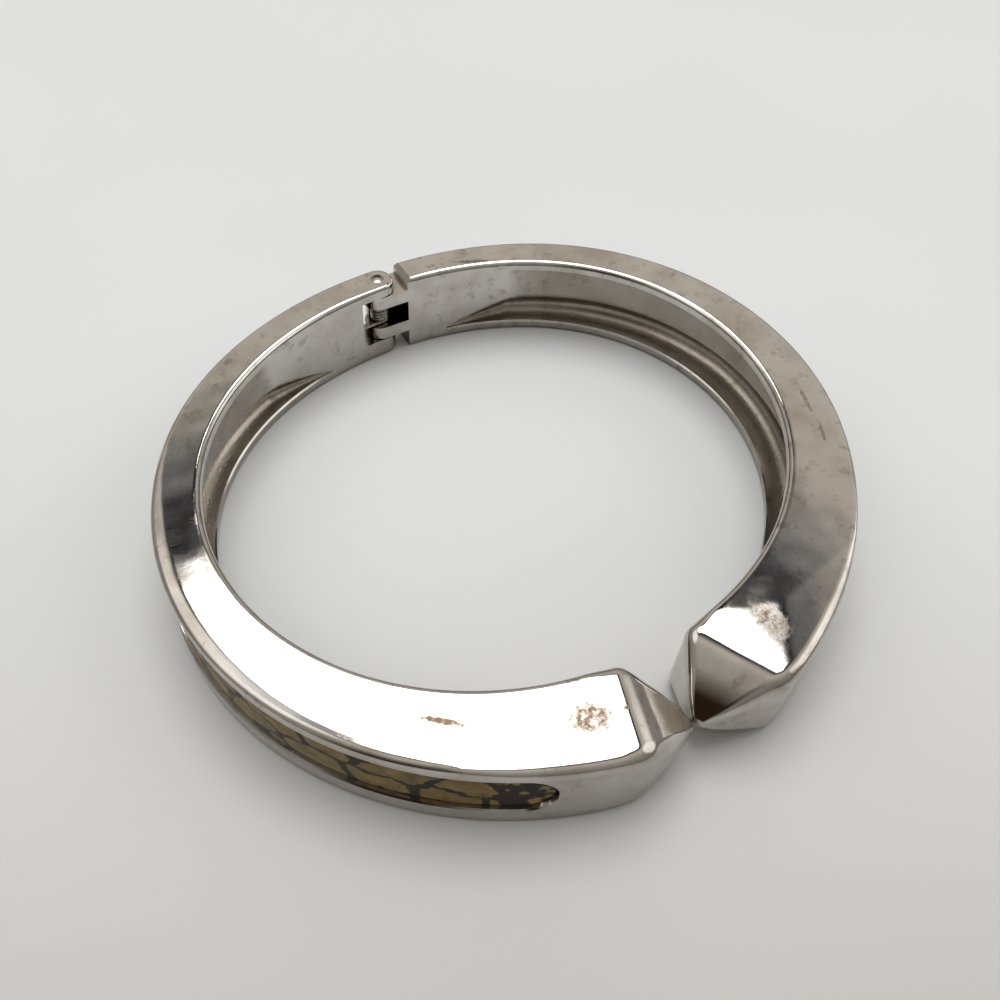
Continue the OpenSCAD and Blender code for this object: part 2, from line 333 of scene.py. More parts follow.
# %% Rings along an arm
TOP_STEPS = 20
EDGE_IN, EDGE_OUT, EDGE_UNDER, POST_EDGE = 0.55, 0.35, 0.35, 0.4
# Wear rounds the edges more and more towards the apex, from this share of the way to the base
SOFT_EDGE, WORN_FROM, WORN_AT_BASE, WORN_REACH = 1.6, 0.955, 0.65, 2.5
OUTER_WEAR, OUTER_WEAR_FROM, OUTER_WEAR_TO = 0.35, 136, 160
RIDGE_ROUND, FINIAL_ROUND, BLUNT = 0.9, 0.74, 0.95


def section(side, k, recess, past=0.0):
    """The ring at share k of the way to the base, with its recesses. past is how far beyond it."""
    base_in, base_out = BASE[side]
    a_in, a_out = base_in * k, base_out * k
    a = (a_in + a_out) / 2
    p = plan(side, a_in, inner_r(a_in))
    q = plan(side, a_out, outer_r(side, a_out))
    w = (q - p).length
    even = 1 - ramp(a, 2, 12)
    worn = WORN_AT_BASE * ramp(k, WORN_FROM, 1.0) + (1 - WORN_AT_BASE) * ramp(past, 0, WORN_REACH)
    worn_out = max(worn, OUTER_WEAR * ramp(a, OUTER_WEAR_FROM, OUTER_WEAR_TO))
    edge_in = mix(mix(EDGE_IN, POST_EDGE, even), SOFT_EDGE, worn)
    edge_out = mix(mix(EDGE_OUT, POST_EDGE, even), SOFT_EDGE, worn_out)
    under = mix(mix(EDGE_UNDER, POST_EDGE, even), SOFT_EDGE, worn)

    def drop(u):
        m = mix(p, q, u / w)
        return top_drop(side, a, m.x, m.y, w - u)

    outer_top = HEIGHT - drop(w)
    low, high = under, HEIGHT - edge_in
    pocket = recess.get("pocket")
    if pocket is None:
        inside = plain_wall(low, high)
    else:
        deep = pocket_wall(low, high, *pocket_at(max(a_in, POCKET_TOE)))
        inside = [(u if pocket == "open" else 0.0, z) for u, z in deep]
    low, high = under, outer_top - edge_out
    half = recess.get("channel")
    if half is None:
        outside = [(w, z) for _, z in reversed(plain_wall(low, high))]
    else:
        cut = CHANNEL_D if recess["deep"] else 0.0
        outside = [(w - d, z) for d, z in channel_wall(low, high, half, cut)]
    points = list(inside)
    points += arc(edge_in, HEIGHT - edge_in, edge_in, 180, 90)[1:-1]
    tops = [mix(edge_in, w - edge_out, i / TOP_STEPS) for i in range(TOP_STEPS + 1)]
    points += [(u, HEIGHT - drop(u)) for u in tops]
    points += arc(w - edge_out, outer_top - edge_out, edge_out, 90, 0)[1:-1]
    points += outside
    points += arc(w - under, under, under, 0, -90)[1:]
    points += arc(under, under, under, -90, -180)[:-1]
    return [(*mix(p, q, u / w), z) for u, z in points]


def ring_plan(side):
    """Shares of the way to the base at which rings stand, with the recesses of each."""
    base_in, base_out = BASE[side]
    rows = []

    def row(a, **recess):
        rows.append((a / ((base_in + base_out) / 2), recess))

    angles = [i * 1.25 for i in range(97)] + [121.25 + i * 0.6 for i in range(83)]
    ridge = math.degrees(RIDGE_ROUND / OPENING_R) + 0.3
    angles = [a for a in angles if a < (base_in + base_out) / 2 - ridge]
    scale_in = (base_in + base_out) / 2 / base_in
    scale_out = (base_in + base_out) / 2 / base_out
    toe, start, stop = (a * scale_in for a in (POCKET_TOE, POCKET_FROM, POCKET_TO))
    reach = math.degrees(math.asin(CHANNEL_HALF / outer_r(side, CHANNEL_TO - 6)))
    centre_shift = math.degrees(math.atan(CHANNEL_HALF / OPENING_R))
    first_c, last_c = CHANNEL_FROM + centre_shift, CHANNEL_TO - centre_shift
    first_reach = math.degrees(math.asin(CHANNEL_HALF / outer_r(side, first_c)))
    turns = [math.sin(math.radians(t)) for t in (90, 84, 76, 66, 54, 40, 25, 10)]
    ends = [first_c - first_reach * t for t in turns] + [last_c + reach * t for t in reversed(turns)]
    ends = [a * scale_out for a in ends]
    marks = {toe, start, stop}
    stations = sorted(set(angles) | set(ends) | marks)
    first, last = min(ends), max(ends)
    for a in stations:
        recess = {}
        if toe <= a <= stop:
            recess["pocket"] = "open"
        if first <= a <= last:
            recess["channel"] = channel_half(side, a / scale_out) if first < a < last else 0.0
            recess["deep"] = True
        if a == toe:
            row(a, **{**recess, "pocket": "shut"})
        if a in (first, last):
            shut = {**recess, "deep": False}
            rows_here = [shut, recess] if a == first else [recess, shut]
            for r in rows_here:
                row(a, **r)
        else:
            row(a, **recess)
        if a == stop:
            row(a, **{**recess, "pocket": "shut"})
    return rows


def shrink_at(s, length):
    """How much the section has shrunk at distance s past the base."""
    e = RIDGE_ROUND
    past = 0.0 if s < -e else s if s > e else (s + e) ** 2 / (4 * e)
    return max(1 - 0.98 * past / length, 0.0) ** FINIAL_ROUND


def shrunk(ring, centre, share):
    return [tuple(centre + (Vector(p) - centre) * share) for p in ring]


def middle_of(side, k):
    base_in, base_out = BASE[side]
    p = plan(side, base_in * k, inner_r(base_in * k))
    q = plan(side, base_out * k, outer_r(side, base_out * k))
    return mix(p, q, 0.5).to_3d() + Vector((0, 0, HEIGHT / 2))


def arm_rings(side):
    """All rings of an arm, from the round end at the pin to the apex."""
    rings = []
    first = section(side, 0.0, {})
    for turn in range(90, 0, -10):
        t = math.radians(turn)
        ring = []
        for x, y, z in first:
            off = y - PIN_Y
            ring.append((-side * abs(off) * math.sin(t), PIN_Y + off * math.cos(t), z))
        rings.append(ring)
    rings += [section(side, k, recess) for k, recess in ring_plan(side)]
    middle = middle_of(side, 1.0)
    apex_r = mix(inner_r(180), outer_r(LEFT, 180), APEX_SHARE)
    apex = Vector((side * APEX_GAP / 2, CENTRE_Y - apex_r, HEIGHT / 2))
    length = (apex - middle).length
    share_per_mm = 1 / (math.radians(BASE[side][0]) * (OPENING_R + TIP_W / 2))
    for step in range(-4, 0):
        s = RIDGE_ROUND * step / 4
        k = 1 + s * share_per_mm
        rings.append(shrunk(section(side, k, {}), middle_of(side, k), shrink_at(s, length)))
    stops = [RIDGE_ROUND * i / 4 for i in range(5)]
    stops += [RIDGE_ROUND + (BLUNT * length - RIDGE_ROUND) * i / 12 for i in range(1, 13)]
    for s in stops:
        centre = mix(middle, apex, s / length)
        ring = section(side, 1.0, {}, s)
        ring = [tuple(Vector(p) + centre - middle) for p in ring]
        rings.append(shrunk(ring, centre, shrink_at(s, length)))
    base = section(side, 1.0, {}, length)
    last = shrink_at(BLUNT * length, length)
    for t in (30, 55, 75):
        turn = math.radians(t)
        centre = mix(middle, apex, BLUNT + (1 - BLUNT) * math.sin(turn))
        share = last * math.cos(turn)
        rings.append([tuple(centre + (Vector(p) - middle) * share) for p in base])
    return rings


for side in (LEFT, RIGHT):
    print("rings", len(arm_rings(side)), "points", len(section(side, 0.5, {})))

# %% [markdown]
# ## Cutting the hinge
# The left arm ends in two ears and the right arm in a knuckle that sits between them. Such joints
# are milled or cast as slots, so here they are cut from the arms with plain shapes, as on a bench.

# %% Cutters
def box_cutter(x0, x1, y0, y1, z0, z1):
    mesh = bmesh.new()
    bmesh.ops.create_cube(mesh, size=1.0)
    size = Matrix.Diagonal((x1 - x0, y1 - y0, z1 - z0, 1))
    place = Matrix.Translation(((x0 + x1) / 2, (y0 + y1) / 2, (z0 + z1) / 2))
    mesh.transform(place @ size)
    return finish_mesh("cutter", mesh)


def drum_cutter(x, y, z0, z1, r, z=0.0, turn=None):
    mesh = bmesh.new()
    bmesh.ops.create_cone(mesh, cap_ends=True, segments=64, radius1=r, radius2=r, depth=z1 - z0)
    middle = Matrix.Translation((0, 0, (z0 + z1) / 2))
    mesh.transform(Matrix.Translation((x, y, z)) @ (turn or Matrix.Identity(4)) @ middle)
    return finish_mesh("cutter", mesh)


def prism_cutter(outline, y0, y1):
    """An outline in x and z, drawn out along y."""
    return finish_mesh("cutter", loft([[(x, y, z) for x, z in outline] for y in (y0, y1)]))


def cut(piece, cutters, sharp=40):
    """Takes the cutters out of the piece, for good."""
    tools = bpy.data.collections.new("tools")
    bpy.context.scene.collection.children.link(tools)
    for c in cutters:
        tools.objects.link(c)
    step = piece.modifiers.new("cut", "BOOLEAN")
    step.operation = "DIFFERENCE"
    step.operand_type = "COLLECTION"
    step.collection = tools
    step.solver = "EXACT"
    graph = bpy.context.evaluated_depsgraph_get()
    shaped = bpy.data.meshes.new_from_object(piece.evaluated_get(graph))
    piece.modifiers.clear()
    piece.data = shaped
    for c in cutters:
        bpy.data.objects.remove(c)
    bpy.data.collections.remove(tools)
    shade(piece, sharp)
    return piece


CLEAR, PAST = 3.0, 0.5
KNUCKLE_LOW, KNUCKLE_HIGH = LOWER_EAR + EAR_GAP, HEIGHT - UPPER_EAR - EAR_GAP
WINDOW_LOW, WINDOW_HIGH = KNUCKLE_LOW + LOWER_TAB, KNUCKLE_HIGH - UPPER_TAB
WIRE_R, WIRE_GAP, LEG_GAP, LEG_PLAY = 0.21, 0.1, 0.08, 0.1
PIN_PLAY, PIN_PRESS = 0.05, 0.01
DISH_R, DISH_D = PIN_R + 0.2, 0.15
COIL_R = PIN_R + WIRE_GAP + WIRE_R
LEG_LOW, LEG_HIGH = WINDOW_LOW + LEG_GAP + WIRE_R, WINDOW_HIGH - LEG_GAP - WIRE_R


def leg_hole(side, z):
    turn = Matrix.Rotation(math.radians(90), 4, "Y")
    x = side * (SHOULDER + 0.5)
    return drum_cutter(x, PIN_Y - COIL_R, -1.2, 1.2, WIRE_R + LEG_PLAY, z, turn)


def left_cutters():
    y0, y1 = PIN_Y - CLEAR, PIN_Y + CLEAR
    return [
        box_cutter(-SHOULDER, CLEAR, y0, y1, LOWER_EAR, HEIGHT - UPPER_EAR),
        drum_cutter(0, PIN_Y, HEIGHT - DISH_D, HEIGHT + 1, DISH_R),
        drum_cutter(0, PIN_Y, -1, DISH_D, DISH_R),
        drum_cutter(0, PIN_Y, -PAST, HEIGHT + PAST, PIN_R + PIN_PRESS),
        leg_hole(LEFT, LEG_LOW),
    ]


def right_cutters():
    y0, y1 = PIN_Y - CLEAR, PIN_Y + CLEAR
    bevel = 0.5
    room = [
        (-CLEAR, KNUCKLE_HIGH), (SHOULDER, KNUCKLE_HIGH), (SHOULDER, HEIGHT - bevel),
        (SHOULDER + bevel, HEIGHT), (SHOULDER + bevel, HEIGHT + 1), (-CLEAR, HEIGHT + 1),
    ]
    behind = POST_R - WEB_T
    return [
        prism_cutter(room, y0, y1),
        box_cutter(-CLEAR, SHOULDER, y0, y1, -1, KNUCKLE_LOW),
        drum_cutter(0, PIN_Y, WINDOW_LOW, WINDOW_HIGH, behind),
        box_cutter(0.05, SHOULDER, y0, PIN_Y + behind, WINDOW_LOW, WINDOW_HIGH),
        box_cutter(-CLEAR, 0.3, y0, PIN_Y, WINDOW_LOW, WINDOW_HIGH),
        box_cutter(-CLEAR, -1.0, PIN_Y - 0.5, y1, WINDOW_LOW, WINDOW_HIGH),
        drum_cutter(0, PIN_Y, KNUCKLE_LOW - PAST, KNUCKLE_HIGH + PAST, PIN_R + PIN_PLAY),
        leg_hole(RIGHT, LEG_HIGH),
    ]


# %% Make the arms
def mark_pocket(piece, side):
    """Marks the pocket's points, which no polishing wheel reaches, for a rough finish and a painted shade.
    """
    mark = piece.data.attributes.new("rough_and_shaded_pocket", "FLOAT", "POINT")
    for v in piece.data.vertices:
        x, y, z = v.co / MM
        a = math.degrees(math.atan2(side * x, y - CENTRE_Y))
        depth = math.hypot(x, y - CENTRE_Y) - inner_r(a)
        in_length = POCKET_TOE <= a <= POCKET_TO + 0.5
        in_height = POCKET_RIM - 0.01 <= z <= HEIGHT - POCKET_RIM + 0.01
        if in_length and in_height and depth < width(side, a) - CHANNEL_D - 0.3:
            mark.data[v.index].value = ramp(depth, 0.1, 0.5)


def make_arm(side, name, cutters):
    piece = finish_mesh(name, loft(arm_rings(side), first_cap=False))
    cut(piece, cutters)
    mark_pocket(piece, side)
    return piece


left_arm = make_arm(LEFT, "left_arm_cast", left_cutters())
right_arm = make_arm(RIGHT, "right_arm_cast", right_cutters())
for arm in (left_arm, right_arm):
    print(arm.name, len(arm.data.polygons), "faces")


# %% [markdown]
# ## The strips
# Each channel holds a strip of printed foil under a clear lacquer, cut with round ends to fit. It is a
# thin slab swept along the channel, a little crowned, and it carries two measures for its
# material: how far along the arm and how far up the strip a point lies, both in millimetres.

# %% Inlaid strips
STRIP_TOP, STRIP_T, STRIP_GAP, STRIP_CROWN = 0.45, 0.42, 0.03, 0.06


def strip_section(side, a, half):
    """Ring of the strip at angle a, with a slightly crowned face."""
    radius = outer_r(side, a)
    ring = []
    steps = 12
    for i in range(steps + 1):
        share = 2 * i / steps - 1
        crown = -STRIP_CROWN * share**4
        ring.append((radius - STRIP_TOP + crown, CHANNEL_MID + half * share))
    for i in range(steps + 1):
        share = 1 - 2 * i / steps
        ring.append((radius - STRIP_TOP - STRIP_T, CHANNEL_MID + half * share))
    return [(*plan(side, a, r), z) for r, z in ring]


def make_strip(side, name):
    shift = math.degrees(math.atan(CHANNEL_HALF / OPENING_R))
    first, last = CHANNEL_FROM + shift, CHANNEL_TO - shift
    turns = [math.radians(t) for t in range(0, 91, 6)]
    angles = []
    for centre, way in ((first, -1), (last, 1)):
        reach = math.degrees(math.asin(CHANNEL_HALF / outer_r(side, centre)))
        angles += [centre + way * reach * math.sin(t) for t in turns]
    angles += [first + (last - first) * i / 110 for i in range(111)]
    angles = sorted(set(round(a, 5) for a in angles))
    rings = []
    for a in angles:
        half = max(channel_half(side, a) - STRIP_GAP, 0.0)
        rings.append(strip_section(side, a, half))
    piece = finish_mesh(name, loft(rings), sharp=50)
    along = piece.data.attributes.new("along_mm", "FLOAT", "POINT")
    up = piece.data.attributes.new("up_mm", "FLOAT", "POINT")
    run = [0.0]
    for a, b in zip(range(0, 180), range(1, 181)):
        run.append(run[-1] + math.radians(1) * outer_r(side, (a + b) / 2))
    for v in piece.data.vertices:
        x, y, z = v.co / MM
        a = math.degrees(math.atan2(side * x, y - CENTRE_Y))
        low = min(int(a), 179)
        along.data[v.index].value = mix(run[low], run[low + 1], a - low)
        up.data[v.index].value = z - CHANNEL_MID
    return piece


left_strip = make_strip(LEFT, "left_printed_strip")
right_strip = make_strip(RIGHT, "right_printed_strip")
print("strips", len(left_strip.data.polygons), "faces each")

# %% [markdown]
# ## Pin and spring
# The pin is turned steel with its ends peened over, so each end is a low dome with a soft edge: a
# profile turned round the hinge line. The spring is steel wire wound round the pin, swept as a
# round tube along a helix, with a straight leg at each end that goes into an arm.

# %% Hinge pin
def turned(name, profile, x, y, steps=48):
    """A profile of radius and height turned round an upright line."""
    rings = []
    for r, z in profile:
        rings.append([
            (x + r * math.cos(2 * math.pi * i / steps), y + r * math.sin(2 * math.pi * i / steps), z)
            for i in range(steps)
        ])
    return finish_mesh(name, loft(rings), sharp=50)


pin_z0, pin_z1 = pin_low.z / MM, pin_high.z / MM
dome = 0.16
end = [(PIN_R * math.cos(math.radians(t)), dome * math.sin(math.radians(t))) for t in range(0, 86, 12)]
profile = [(r, pin_z0 + dome - d) for r, d in reversed(end)] + [(r, pin_z1 - dome + d) for r, d in end]
pin = turned("peened_pin", profile, 0, PIN_Y)
print("pin", len(pin.data.polygons), "faces")


# %% Torsion spring
def swept_wire(name, path, r, sides=12):
    """A round wire along a path of points, each ring square to the path."""
    rings = []
    for i, p in enumerate(path):
        ahead = path[min(i + 1, len(path) - 1)] - path[max(i - 1, 0)]
        ahead.normalize()
        flat = Vector((0, 0, 1)).cross(ahead).normalized()
        tall = ahead.cross(flat)
        turns = [2 * math.pi * k / sides for k in range(sides)]
        rings.append([tuple(p + r * (math.cos(t) * flat + math.sin(t) * tall)) for t in turns])
    return finish_mesh(name, loft(rings), sharp=60)


SPRING_TURNS, TURN_STEPS, LEG_REACH, LEG_STEP = 5, 36, SHOULDER + 1.2, 0.4
coil_steps = TURN_STEPS * SPRING_TURNS
leg = [LEG_REACH - i * LEG_STEP for i in range(int(LEG_REACH / LEG_STEP))]
path = [Vector((-x, PIN_Y - COIL_R, LEG_LOW)) for x in leg]
for i in range(coil_steps + 1):
    t = 2 * math.pi * i / TURN_STEPS - math.pi / 2
    rise = mix(LEG_LOW, LEG_HIGH, i / coil_steps)
    path.append(Vector((COIL_R * math.cos(t), PIN_Y + COIL_R * math.sin(t), rise)))
path += [Vector((x, PIN_Y - COIL_R, LEG_HIGH)) for x in reversed(leg)]
spring = swept_wire("wound_spring", path, WIRE_R)
print("spring", len(spring.data.polygons), "faces")

# %% [markdown]
# ## Materials
# Every colour is an sRGB hex value, turned to linear by one function. One helper adds a node of any
# kind with its settings and inputs. Pattern sizes are real: a texture's scale is one over the
# size in metres, because object coordinates are in metres.

# %% Material helpers
def linear(hex_colour):
    """An sRGB hex colour as linear RGBA."""
    parts = [int(hex_colour[i:i + 2], 16) / 255 for i in (1, 3, 5)]
    return (*[c / 12.92 if c <= 0.04045 else ((c + 0.055) / 1.055) ** 2.4 for c in parts], 1.0)


def node(tree, kind, inputs=None, out=0, stops=None, **settings):
    """Adds a node. Its inputs are sockets to link, numbers, vectors or hex colours."""
    n = tree.nodes.new("ShaderNode" + kind)
    for key, value in settings.items():
        setattr(n, key, value)
    for key, value in (inputs or {}).items():
        if isinstance(value, bpy.types.NodeSocket):
            tree.links.new(value, n.inputs[key])
        else:
            n.inputs[key].default_value = linear(value) if isinstance(value, str) else value
    for i, (place, colour) in enumerate(stops or []):
        elements = n.color_ramp.elements
        element = elements[i] if i < 2 else elements.new(place)
        element.position, element.color = place, linear(colour)
    return n.outputs[out] if n.outputs else n


def new_material(name, inputs):
    """A material whose shader has these inputs."""
    material = bpy.data.materials.new(name)
    material.use_nodes = True
    tree = material.node_tree
    tree.nodes.clear()
    node(tree, "OutputMaterial", {0: node(tree, "BsdfPrincipled", inputs(tree))})
    return material


def per_mm(size):
    """Scale of a texture whose grains are this many millimetres across."""
    return 1 / (size * MM)


# %% [markdown]
# ## Plated alloy
# The arms are zinc alloy castings, polished, then plated with nickel and a thin bright coat. Plate is
# a true metal: colour comes from its reflections, so metallic is 1. Years of wear leave a fine
# haze, soft dents and brown tarnish in specks and streaks. Hollows that ambient occlusion finds shut
# in get a painted shade of dark brown. The pockets were never polished, so they are rough and grainy
# like the casting, and a painted shade darkens them to brown.

# %% Stains
# Side, angle from the hinge, share of the way across, length and width in mm, and strength
STAINS = [
    (RIGHT, 13.5, 0.4, 3.0, 1.4, 0.62), (RIGHT, 24.0, 0.25, 8.0, 1.2, 0.75),
    (LEFT, 40.0, 0.72, 2.6, 1.7, 0.66), (LEFT, 47.5, 0.5, 3.2, 1.6, 0.7),
    (LEFT, 139.0, 0.42, 7.4, 1.1, 0.9), (LEFT, 162.0, 0.46, 8.0, 6.0, 0.78),
    (LEFT, 140.4, 0.84, 4.0, 1.2, 0.66), (LEFT, 161.0, 0.06, 2.6, 0.8, 0.7),
    (LEFT, 168.0, 0.46, 1.0, 0.8, 0.85), (RIGHT, 109.0, 0.52, 8.0, 1.0, 0.68),
    (RIGHT, 117.0, 0.6, 6.0, 0.9, 0.68), (RIGHT, 161.5, 0.5, 5.0, 8.5, 0.7),
]


def stain_mask(tree, where, side):
    """How strongly one arm is stained, from its stains' places round the arm, sizes and strengths."""
    total = 0.0
    for arm_side, a, share, long_mm, wide_mm, strength in STAINS:
        if arm_side != side:
            continue
        centre = plan(side, a, mix(inner_r(a), outer_r(side, a), share))
        away = (centre.x * MM, centre.y * MM, HEIGHT * MM)
        moved = node(tree, "VectorMath", {0: where, 1: away}, operation="SUBTRACT")
        lined_up = node(tree, "VectorRotate", {"Vector": moved, "Angle": math.radians(side * a)},
                        rotation_type="Z_AXIS")
        per_size = (per_mm(long_mm / 2), per_mm(wide_mm / 2), per_mm(1.5))
        scaled = node(tree, "VectorMath", {0: lined_up, 1: per_size}, operation="MULTIPLY")
        reach = node(tree, "VectorMath", {0: scaled}, "Value", operation="LENGTH")
        inside = node(tree, "MapRange", {0: reach, 1: 1.15, 2: 0.3, 3: 0.0, 4: strength})
        total = node(tree, "Math", {0: total, 1: inside}, operation="MAXIMUM")
    return total


# %% Plated alloy
def plated_alloy(name, side):
    def inputs(tree):
        where = node(tree, "TexCoord", out="Object")
        haze = node(tree, "TexNoise", {0: where, "Scale": per_mm(6.0), "Detail": 5.0, "Roughness": 0.6})
        blotch = node(tree, "TexNoise", {0: where, "Scale": per_mm(2.0), "Detail": 6.0, "Roughness": 0.7})
        specks = node(tree, "TexNoise", {0: where, "Scale": per_mm(0.5), "Detail": 5.0, "Roughness": 0.75})
        dents = node(tree, "TexNoise", {0: where, "Scale": per_mm(5.0), "Detail": 1.0})
        grain = node(tree, "TexNoise", {0: where, "Scale": per_mm(0.35), "Detail": 4.0, "Roughness": 0.7})
        hidden = node(tree, "AmbientOcclusion", {"Distance": 2.6 * MM}, "AO", samples=8)
        hollow_shade_mask = node(tree, "MapRange", {0: hidden, 1: 0.7, 2: 0.2})
        ragged = node(tree, "Math", {0: stain_mask(tree, where, side), 1: specks}, operation="ADD")
        stain = node(tree, "MapRange", {0: ragged, 1: 1.0, 2: 1.35, 3: 0.0, 4: 0.95})
        clouds = node(tree, "MapRange", {0: haze, 1: 0.42, 2: 0.68})
        patches = node(tree, "MapRange", {0: blotch, 1: 0.55, 2: 0.74, 3: 0.0, 4: 0.8})
        colour = node(tree, "Mix", {0: clouds, 6: "#c1bdb7", 7: "#aaa49b"}, 2, data_type="RGBA")
        colour = node(tree, "Mix", {0: patches, 6: colour, 7: "#7d7466"}, 2, data_type="RGBA")
        # Painted shade: where ambient occlusion finds the surface shut in, the colour goes to a dark
        # brown.
        colour = node(tree, "Mix", {0: hollow_shade_mask, 6: colour, 7: "#564a36"}, 2, data_type="RGBA")
        colour = node(tree, "Mix", {0: stain, 6: colour, 7: "#54422f"}, 2, data_type="RGBA")
        # Painted shade: pocket points are mixed up to halfway towards a brown; the same mark makes them
        # rougher and grainier like the casting.
        cast_and_shade = node(tree, "Attribute", out="Fac", attribute_name="rough_and_shaded_pocket")
        pocket_shade_share = node(tree, "Math", {0: cast_and_shade, 1: 0.5}, operation="MULTIPLY")
        colour = node(tree, "Mix", {0: pocket_shade_share, 6: colour, 7: "#766a55"}, 2, data_type="RGBA")
        rough = node(tree, "MapRange", {0: haze, 1: 0.35, 2: 0.7, 3: 0.035, 4: 0.1})
        for share, more in ((stain, 0.3), (patches, 0.08), (hollow_shade_mask, 0.2), (cast_and_shade, 0.17)):
            rough = node(tree, "Math", {0: share, 1: more, 2: rough}, operation="MULTIPLY_ADD")
        height = node(tree, "Math", {0: dents, 1: 0.1}, operation="MULTIPLY")
        depth = node(tree, "Math", {0: cast_and_shade, 1: 0.08, 2: 0.004}, operation="MULTIPLY_ADD")
        height = node(tree, "Math", {0: grain, 1: depth, 2: height}, operation="MULTIPLY_ADD")
        bump = node(tree, "Bump", {"Height": height, "Strength": 0.5, "Distance": 1 * MM})
        return {"Base Color": colour, "Metallic": 1.0, "Roughness": rough, "Normal": bump}

    return new_material(name, inputs)


left_arm.data.materials.append(plated_alloy("plated_alloy_left", LEFT))
right_arm.data.materials.append(plated_alloy("plated_alloy_right", RIGHT))

# %% [markdown]
# ## Printed foil under lacquer
# The strip is a scale print in ochre and near-black ink under clear lacquer. The print
# is a net of stretched cells, drawn as the borders of a Voronoi pattern 6 mm by 3 mm. The ink runs
# together in one dark blot at the front end.

# %% Printed foil
def foil_inputs(tree):
    along = node(tree, "Attribute", out="Fac", attribute_name="along_mm")
    up = node(tree, "Attribute", out="Fac", attribute_name="up_mm")
    where = node(tree, "TexCoord", out="Object")
    wander = node(tree, "TexNoise", {0: where, "Scale": per_mm(2.5), "Detail": 3.0})
    sway = node(tree, "Math", {0: wander, 1: 0.9, 2: -0.45}, operation="MULTIPLY_ADD")
    across = node(tree, "Math", {0: up, 1: 1 / 2.9, 2: sway}, operation="MULTIPLY_ADD")
    forward = node(tree, "Math", {0: along, 1: 1 / 6.0}, operation="MULTIPLY")
    place = node(tree, "CombineXYZ", {0: forward, 1: across})
    cells = node(tree, "TexVoronoi", {"Vector": place, "Scale": 1.0, "Randomness": 0.8},
                 feature="DISTANCE_TO_EDGE", voronoi_dimensions="2D")
    thick = node(tree, "TexNoise", {0: where, "Scale": per_mm(3.0), "Detail": 2.0})
    weight = node(tree, "MapRange", {0: thick, 1: 0.35, 2: 0.65, 3: 0.03, 4: 0.1})
    spare = node(tree, "Math", {0: cells, 1: weight}, operation="SUBTRACT")
    line = node(tree, "MapRange", {0: spare, 1: 0.02, 2: 0.0})
    front = node(tree, "MapRange", {0: along, 1: 81.5, 2: 85.5, 3: -0.2, 4: 0.32})
    uneven = node(tree, "TexNoise", {0: where, "Scale": per_mm(1.6), "Detail": 2.0})
    pooled = node(tree, "Math", {0: uneven, 1: front}, operation="ADD")
    blot = node(tree, "MapRange", {0: pooled, 1: 0.72, 2: 0.76})
    ink = node(tree, "Math", {0: line, 1: blot}, operation="MAXIMUM")
    mottle = node(tree, "TexNoise", {0: where, "Scale": per_mm(1.6), "Detail": 4.0})
    share = node(tree, "MapRange", {0: mottle, 1: 0.35, 2: 0.7})
    ground = node(tree, "Mix", {0: share, 6: "#85723f", 7: "#5f4e2a"}, 2, data_type="RGBA")
    colour = node(tree, "Mix", {0: ink, 6: ground, 7: "#150a06"}, 2, data_type="RGBA")
    worn = node(tree, "TexNoise", {0: where, "Scale": per_mm(0.5), "Detail": 3.0})
    rough = node(tree, "MapRange", {0: worn, 1: 0.3, 2: 0.7, 3: 0.3, 4: 0.45})
    sunk = node(tree, "Math", {0: ink, 1: -0.03}, operation="MULTIPLY")
    bump = node(tree, "Bump", {"Height": sunk, "Strength": 0.4, "Distance": 1 * MM})
    return {"Base Color": colour, "Roughness": rough, "Normal": bump, "IOR": 1.4,
            "Specular IOR Level": 0.12, "Coat Weight": 0.08, "Coat Roughness": 0.12}


foil = new_material("lacquered_foil", foil_inputs)
for strip in (left_strip, right_strip):
    strip.data.materials.append(foil)

# %% [markdown]
# ## Steel
# Pin and spring are plain steel. The pin's end is bright from peening, and the wire is drawn, dull
# and a little oily, so it is darker and rougher. Both vary in roughness from point to point.

# %% Steels
def steel(name, light, dark, smooth, dull, size_mm):
    def inputs(tree):
        where = node(tree, "TexCoord", out="Object")
        patch = node(tree, "TexNoise", {0: where, "Scale": per_mm(size_mm), "Detail": 4.0})
        share = node(tree, "MapRange", {0: patch, 1: 0.35, 2: 0.65})
        colour = node(tree, "Mix", {0: share, 6: light, 7: dark}, 2, data_type="RGBA")
        rough = node(tree, "MapRange", {0: patch, 1: 0.3, 2: 0.7, 3: smooth, 4: dull})
        fine = node(tree, "TexNoise", {0: where, "Scale": per_mm(0.12), "Detail": 3.0})
        height = node(tree, "Math", {0: fine, 1: 0.01}, operation="MULTIPLY")
        bump = node(tree, "Bump", {"Height": height, "Strength": 0.4, "Distance": 1 * MM})
        return {"Base Color": colour, "Metallic": 1.0, "Roughness": rough, "Normal": bump}

    return new_material(name, inputs)


pin.data.materials.append(steel("peened_steel", "#d6d4cf", "#aaa59b", 0.14, 0.3, 0.3))
spring.data.materials.append(steel("drawn_spring_steel", "#b3aea5", "#6f685d", 0.2, 0.4, 0.5))

# %% [markdown]
# ## Floor and light
# Polished metal shows what stands round it, so the light matters as much as the
# material. A round white ceiling light stands high behind the bangle, with a dark ring
# round it. Two softer windows stand to the left and the right, and a dark patch stands where
# an onlooker would. The rest is a warm pale room, dimmer towards the front.

